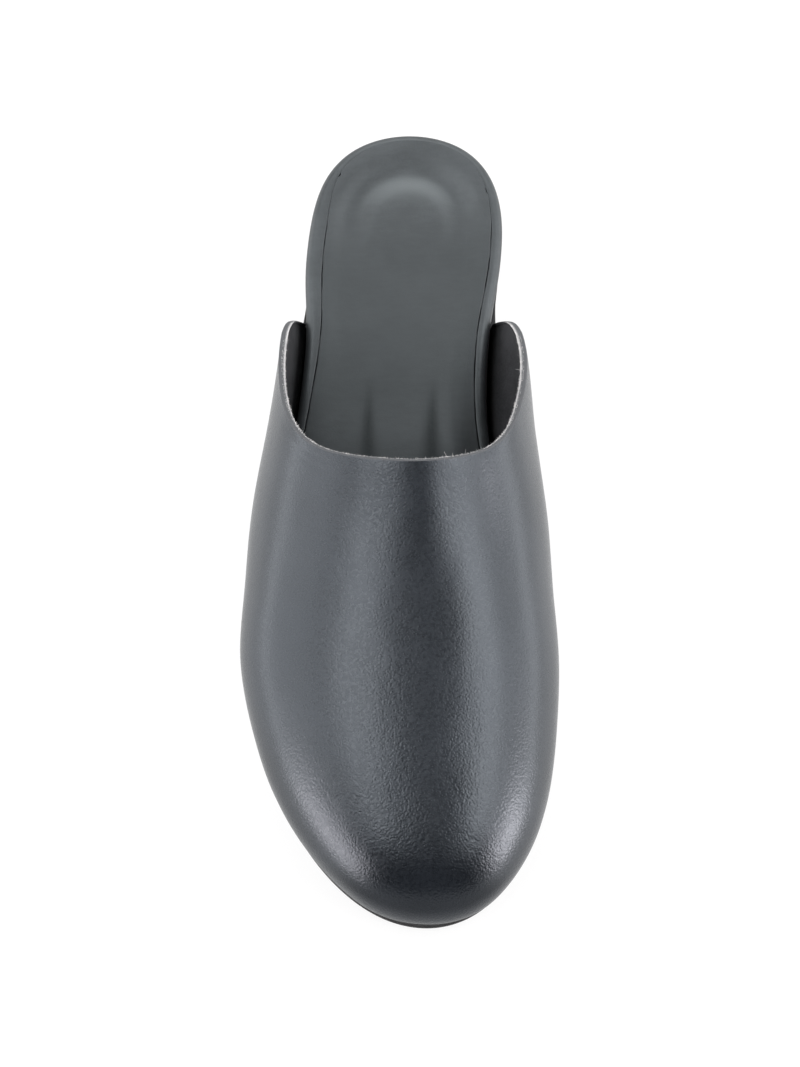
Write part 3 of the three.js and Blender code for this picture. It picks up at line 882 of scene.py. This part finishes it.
# -1 at the outer rim, 1 at the inner one
def acrossBed(x, y):
    share = printShare(y)
    middle = printSway(share) * last["ballWidth"]
    widest = printHalf(min(share, 1 - bed["cupLength"] / (printEnd - printStart)))
    return (x - middle) / max(1.0, widest * widthAt(share) - bed["roll"])


# 0 at the middle of the heel seat, 1 at its rim
def heelReach(x, y):
    cupMiddle = printEnd - bed["cupLength"]
    along = max(0.0, y - cupMiddle) / (bed["cupLength"] - bed["roll"])
    return math.hypot(acrossBed(x, y), along)


def hollow(x, y):
    share, across, reach = printShare(y), acrossBed(x, y), heelReach(x, y)
    depth = mix(bed["dish"], bed["cupShown"], ease(*bed["cupStart"], y / last["length"]))
    foot = mix(bed["dishFoot"], bed["cupFoot"], ease(*bed["footMoves"], y / last["length"]))
    cup = depth * ease(1, foot, reach)
    cushion = bed["cushion"] * ease(bed["cupFoot"], bed["cushionTop"], reach) * ease(*bed["cushionFront"], y)
    arch = bed["archLift"] * ease(-0.1, 1, across)
    arch = arch * ease(*bed["archFront"], share) * ease(*bed["archBack"], share)
    pad = bed["padLift"] * hump(across, 0, bed["padWidth"]) * hump(share, bed["padPlace"], bed["padLength"])
    return cup - cushion - (pad + arch) * ease(1, 0.6, abs(across))


def furrowShare(x, y):
    share = printShare(y)
    fade = ease(*furrow["back"], share) * ease(*furrow["front"], share)
    width = mix(*furrow["width"], ease(*furrow["widens"], share))
    middle = printSway(share) * last["ballWidth"]
    return fade * max(hump(x, middle + furrow[side], width) for side in ("outer", "inner"))


# painted shade on the sock, darker along the furrows and towards the front under the throat, and below zero a
# painted highlight along the cushion's rear edge
def shadeOn(x, y):
    throat = mix(1, sockPaintedLight["throat"], ease(*sockPaintedLight["throatFrom"], y))
    dark = sockPaintedLight["furrow"] * furrowShare(x, y) + sockPaintedLight["front"] * ease(*sockPaintedLight["frontFrom"], y) * throat
    reach = heelReach(x, y)
    # painted highlight along the cushion's rear edge
    paintedHighlight = ease(*sockPaintedLight["highlightEdge"], reach) * ease(*sockPaintedLight["highlightMiddle"], reach)
    return clamp(dark) - sockPaintedLight["paintedHighlight"] * (paintedHighlight * ease(*sockPaintedLight["highlightFrom"], y))


def sockEdge(y, gap):
    inner, outer = bareStrip(y)
    roll = bed["roll"] - swelling(y)
    wander = knifeLine["wander"] * noise.noise(Vector((y * knifeLine["wanderPitch"], 0, 3)))
    nicks = [0, 0]
    if gap > 0:
        rough = [noise.noise(Vector((y * knifeLine["nickPitch"], side, 8))) for side in (0, 5)]
        nicks = [knifeLine["nick"] * max(0.0, value - knifeLine["nickFrom"]) for value in rough]
    return -(roll + inner + gap + wander + nicks[0]), -(roll + outer + gap - wander + nicks[1])


def cutGap(y):
    rough = noise.noise(Vector((y * knifeLine["pitch"], 2, 6)))
    parting = mix(knifeLine["least"], 1, ease(*knifeLine["leastFrom"], rough))
    back = ease(*knifeLine["backFrom"], y / last["length"])
    return mix(knifeLine["side"] * parting, knifeLine["back"], back)


def makeFootbed():
    pairs = outlinePairs(bed["steps"])
    level = lambda by, height: rowsAcross(shifted(pairs, by), height, bed["across"])

    # the rim's edge next to the sock, as a share of the gap away from it
    def beside(y, share):
        return tuple(v + share * cutGap(y) for v in sockEdge(y, 0))

    def recessFloor(x, y):
        return rimTop(y) - sockSeat - hollow(x, y) - 0.1

    def rolled(turn):
        return level(
            lambda y: swelling(y) - bed["roll"] * (1 - math.cos(turn)),
            lambda x, y: rimTop(y) - bed["roll"] * (1 - math.sin(turn)),
        )

    # the wrapped side swells a little between its foot and its roll
    def wallAt(share):
        swell = bed["sideSwell"] * math.sin(math.pi * share)
        return level(
            lambda y: mix(0, swelling(y), share) + swell * ease(*bed["swellFrom"], y / last["length"]),
            lambda x, y: mix(featherLine(y) + bed["chamfer"], rimTop(y) - bed["roll"], share),
        )

    levels = [
        level(lambda y: -bed["chamfer"], lambda x, y: featherLine(y)),
        level(lambda y: -0.2, lambda x, y: featherLine(y) + 0.2),
        *[wallAt(k / 5) for k in range(5)],
        *[rolled(math.pi * k / 16) for k in range(9)],
        level(lambda y: beside(y, 1), lambda x, y: rimTop(y)),
        level(lambda y: beside(y, 0.2), lambda x, y: rimTop(y) - 0.2 * cutGap(y)),
        level(lambda y: sockEdge(y, 0), lambda x, y: rimTop(y) - bed["recessEdge"]),
        level(lambda y: sockEdge(y, bed["recessDraft"]), recessFloor),
    ]
    return plate(levels).make("footbedWrap", [finishes["wrap"]])


def makeSock():
    pairs = outlinePairs(bed["steps"])

    # the cut edge is pressed flatter at the back
    def soft(y):
        return mix(1, bed["softBack"], ease(*bed["softFrom"], y / last["length"]))

    def level(inset, below):
        def height(x, y):
            top = rimTop(y) - sockSeat - hollow(x, y) + last["gap"] + bed["sock"]
            return top - furrow["depth"] * furrowShare(x, y) - below * soft(y)

        cut = shifted(pairs, lambda y: sockEdge(y, cutGap(y) + inset * soft(y)))
        return rowsAcross(cut, height, bed["across"])

    foot = lambda x, y: rimTop(y) - sockSeat - hollow(x, y) + last["gap"] - 0.25
    levels = [
        rowsAcross(shifted(pairs, lambda y: sockEdge(y, cutGap(y) + 0.1)), foot, bed["across"]),
        *[level(inset, below) for inset, below in sockRound],
    ]
    # the sock's points carry its painted shade and painted highlight
    return plate(levels, markOf=shadeOn).make("sockCover", [finishes["sock"]], "shade")


footbedPiece = makeFootbed()
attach(footbedPiece, "root")
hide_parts("footbed")
sockPiece = makeSock()
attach(sockPiece, "root")
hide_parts("insole_sock")
print("footbed and sock made")

# outsole and heel

sole = {
    "steps": 150, "across": 10, "bevel": 0.8, "heelLip": 1, "lipFrom": (-0.03, 0.05),
    "grooveDepth": 0.35, "grooveHeight": 3.6, "grooveHalf": 0.35,
}


def soleMargin(y):
    start, end = (last["wingEnd"] + shift for shift in sole["lipFrom"])
    return mix(last["gap"] + last["wall"], sole["heelLip"], ease(start, end, y / last["length"]))


def makeOutsole():
    pairs = outlinePairs(sole["steps"])
    level = lambda inset, height: rowsAcross(
        shifted(pairs, lambda y: soleMargin(y) - inset), height, sole["across"])
    up = lambda rise: (lambda x, y: groundLine(y) + rise)
    thick, bevel = last["soleThickness"], sole["bevel"]
    groove, half, deep = sole["grooveHeight"], sole["grooveHalf"], sole["grooveDepth"]
    steps = [(bevel, 0), (bevel * 0.55, 0.08), (bevel * 0.2, 0.3), (0.04, 0.6), (0, 1)]
    steps += [(0, groove - half), (deep * 0.8, groove - 0.12), (deep, groove)]
    steps += [(deep * 0.8, groove + 0.12), (0, groove + half)]
    steps += [(0, thick - 0.5), (0.16, thick - 0.15), (0.55, thick)]
    return plate([level(inset, up(rise)) for inset, rise in steps]).make("outsoleSheet", [finishes["sole"]])


heel = {
    "steps": 70, "across": 24, "length": 60, "breastHollow": 4, "taper": 1.4, "setIn": 0.4, "bevel": 0.9,
    "liftHeight": 3.9, "liftLine": 0.3,
}


def makeHeel():
    breast = 1 - heel["length"] / (printEnd - printStart)
    pairs = outlinePairs(heel["steps"], breast)
    across = heel["across"]

    def level(inset, height):
        rows = rowsAcross(shifted(pairs, lambda y: -inset), height, across)
        for k, p in enumerate(rows[0]):
            p.y += heel["breastHollow"] * math.sin(math.pi * k / across)
            p.z = height(p.x, p.y)
        return rows

    foot, bevel, setIn = heel["setIn"] + heel["taper"], heel["bevel"], heel["setIn"]
    lift, line = heel["liftHeight"], heel["liftLine"]  # where two lifts of the block meet
    top = lambda x, y: groundLine(y) - last["gap"]
    side = lambda z: mix(foot, setIn, z / (last["heelRise"] - last["gap"]))
    flat = lambda z: (lambda x, y: z)
    levels = [level(foot + bevel, flat(0)), level(foot + bevel * 0.35, flat(bevel * 0.3))]
    levels += [level(foot, flat(bevel))]
    levels += [level(side(lift - 0.3), flat(lift - 0.3)), level(side(lift) + line, flat(lift - 0.05))]
    levels += [level(side(lift + 0.3), flat(lift + 0.2))]
    levels += [level(setIn, lambda x, y: top(x, y) - 0.5), level(setIn + 0.3, top)]
    return plate(levels).make("heelBlock", [finishes["heel"]])


outsolePiece = makeOutsole()
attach(outsolePiece, "root")
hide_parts("outsole")
heelPiece = makeHeel()
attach(heelPiece, "root")
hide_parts("heel")
print("outsole and heel made")

# studio

# each panel: degrees towards the inner side and the heel from straight up, width, height, brightness
studio = {
    "target": (0.00016, -0.00456, 0.02), "elevation": 70, "distance": 1.2, "lens": 127.5,
    "floor": 0.13, "floorGlow": 0.84, "sideGlow": 1.7, "sideStart": 0.05, "sideFull": 0.13,
    "floorSize": 24, "floorWall": 2.4, "room": 0.03, "panelDistance": 1.1, "ceilingShare": 1.1,
    "panels": {
        "leftTop": (-20.5, 2, 1.2, 0.34, 5.4), "rightTop": (34, 2, 1.2, 0.4, 5.8),
        "leftWall": (-61, 8, 1.4, 1.1, 3), "rightWall": (68, 8, 1.4, 0.95, 2.8),
        "leftFront": (-64, -45, 0.55, 0.68, 7.6), "rightFront": (75, -32, 0.45, 0.74, 9.4),
        "back": (3, 54, 0.9, 0.45, 6), "ceiling": (5, 0, 1.5, 1.1, 0.3),
    },
    "frontTint": (1, 0.93, 0.935),
}


def makeCamera():
    camera = bpy.data.objects.new("camera", bpy.data.cameras.new("camera"))
    bpy.context.collection.objects.link(camera)
    tilt = math.radians(studio["elevation"])
    back = Vector((0, -math.cos(tilt), math.sin(tilt)))
    camera.location = Vector(studio["target"]) + back * studio["distance"]
    camera.rotation_euler = (math.pi / 2 - tilt, 0, 0)
    camera.data.lens = studio["lens"]
    camera.data.sensor_width = 36
    camera.data.clip_end = 40
    bpy.context.scene.camera = camera


def makeFloor():
    mesh = bpy.data.meshes.new("floor")
    size, wall = studio["floorSize"] / 2, studio["floorWall"]  # paper that turns up far behind, on all sides
    corners = [(x * size, y * size, z) for z in (0, wall) for x, y in ((-1, -1), (1, -1), (1, 1), (-1, 1))]
    sides = [(k, k + 4, (k + 1) % 4 + 4, (k + 1) % 4) for k in range(4)]
    mesh.from_pydata(corners, [], [(0, 1, 2, 3)] + sides)
    floor = bpy.data.objects.new("floor", mesh)
    bpy.context.collection.objects.link(floor)
    finish, tree, shader = newFinish("floorPaper")
    shader.inputs["Base Color"].default_value = (studio["floor"],) * 3 + (1,)
    shader.inputs["Roughness"].default_value = 0.9
    shader.inputs["Specular IOR Level"].default_value = 0.1
    shader.inputs["Emission Color"].default_value = (1, 1, 1, 1)
    # the paper glows brighter to the left and right of the shoe than in front of it: painted light that the
    # shoe's sides reflect
    split = addNode(tree, "ShaderNodeSeparateXYZ")
    tree.links.new(placeOn(tree), split.inputs[0])
    aside = mathOf(tree, "ABSOLUTE", split.outputs["X"], 0)
    glow = rangeOf(
        tree, aside, studio["sideStart"], studio["sideFull"], studio["floorGlow"], studio["sideGlow"], True)
    tree.links.new(glow, shader.inputs["Emission Strength"])
    mesh.materials.append(finish)


def makePanel(name, side, back, width, height, brightness):
    tilt, turn = math.radians(math.hypot(side, back)), math.atan2(back, side)
    towards = Vector((math.sin(tilt) * math.cos(turn), math.sin(tilt) * math.sin(turn), math.cos(tilt)))
    light = bpy.data.lights.new(name, "AREA")
    light.shape = "RECTANGLE"
    light.size, light.size_y = width, height
    light.energy = brightness * math.pi * width * height
    light.color = studio["frontTint"] if "Front" in name else (1, 1, 1)
    panel = bpy.data.objects.new(name, light)
    panel.visible_camera = False
    bpy.context.collection.objects.link(panel)
    panel.location = towards * studio["panelDistance"] * (studio["ceilingShare"] if name == "ceiling" else 1)
    panel.rotation_euler = towards.to_track_quat("Z", "Y").to_euler()


def makeWorld():
    world = bpy.data.worlds.new("studio")
    bpy.context.scene.world = world
    world.use_nodes = True
    background = world.node_tree.nodes["Background"]
    background.inputs["Color"].default_value = (1, 1, 1, 1)
    background.inputs["Strength"].default_value = studio["room"]


makeCamera()
makeFloor()
makeWorld()
for name, panel in studio["panels"].items():
    makePanel(name, *panel)
bpy.context.scene.view_settings.view_transform = "Standard"
print("studio made")
